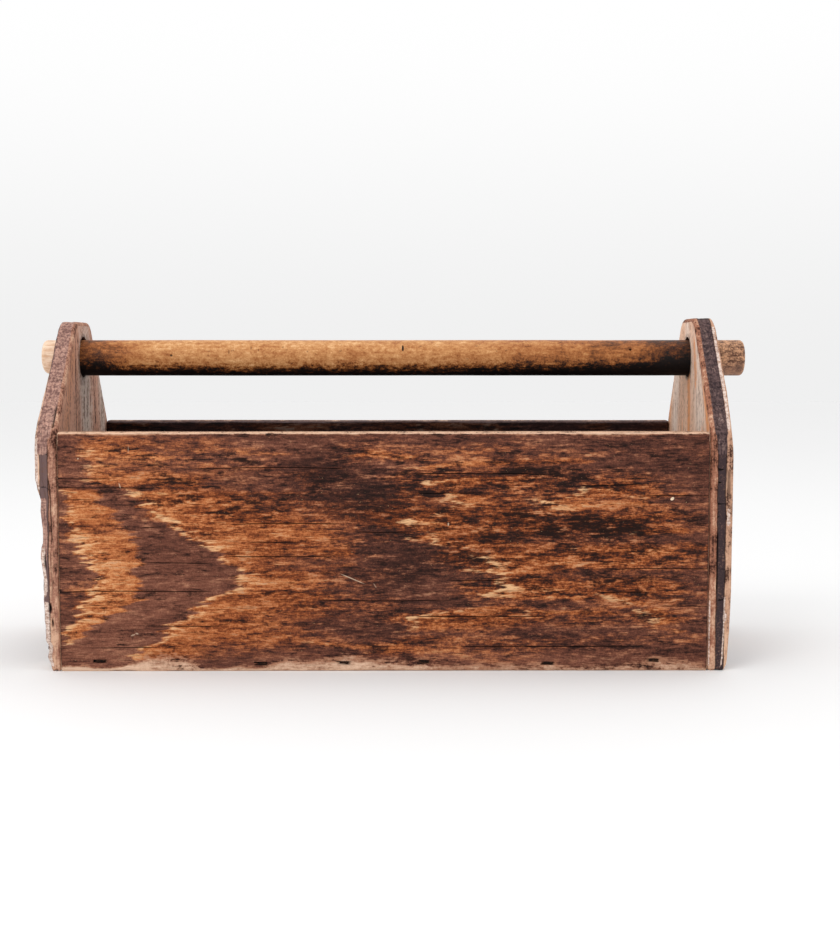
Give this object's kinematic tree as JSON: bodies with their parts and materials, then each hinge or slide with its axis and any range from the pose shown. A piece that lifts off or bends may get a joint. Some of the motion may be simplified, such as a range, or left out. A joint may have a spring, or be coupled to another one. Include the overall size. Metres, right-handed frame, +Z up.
{
  "type": "carpenter toolbox",
  "caption": "Open wooden tote for hand tools: plywood ends with sloping shoulders, low plywood sides, stapled joints, and a loose round bar through both ends to carry it by.",
  "frame": {"origin": "middle of the box's underside, on the surface it stands on, halfway between the ends' outer faces", "axes": "+X along the box towards its right end, +Y towards its rear, +Z up"},
  "size_m": [0.5759, 0.2, 0.273],
  "materials": {
    "side_wood": "dark red-brown stained plywood, worn to orange and tan",
    "end_wood": "weathered brown three-ply plywood with bare layered edges",
    "bar_wood": "honey brown, polished by hands on top and dark with dirt below",
    "staple_steel": "dull, tarnished and rusted wire"
  },
  "bodies": {
    "box": {"left_end": "end_wood", "right_end": "end_wood", "front_side": "side_wood", "rear_side": "side_wood", "floor_board": "side_wood", "staple_front_floor_1": "staple_steel", "staple_front_floor_2": "staple_steel", "staple_front_floor_3": "staple_steel", "staple_front_floor_4": "staple_steel", "staple_front_floor_5": "staple_steel", "staple_front_floor_6": "staple_steel", "staple_rear_floor_1": "staple_steel", "staple_rear_floor_2": "staple_steel", "staple_rear_floor_3": "staple_steel", "staple_rear_floor_4": "staple_steel", "staple_rear_floor_5": "staple_steel", "staple_rear_floor_6": "staple_steel", "staple_left_front_3": "staple_steel", "staple_left_rear_1": "staple_steel", "staple_left_rear_2": "staple_steel", "staple_left_rear_3": "staple_steel", "staple_left_floor_1": "staple_steel", "staple_left_floor_2": "staple_steel", "staple_right_front_1": "staple_steel", "staple_right_front_2": "staple_steel", "staple_right_front_3": "staple_steel", "staple_right_rear_1": "staple_steel", "staple_right_rear_2": "staple_steel", "staple_right_rear_3": "staple_steel", "staple_right_floor_1": "staple_steel", "staple_right_floor_2": "staple_steel"},
    "bar": {"carrying_bar": "bar_wood"}
  },
  "joints": [
    {"name": "bar_turn", "type": "hinge", "parent": "box", "child": "bar", "pos_m": [0, 0, 0.2408], "axis": [1, 0, 0], "continuous": true}
  ]
}
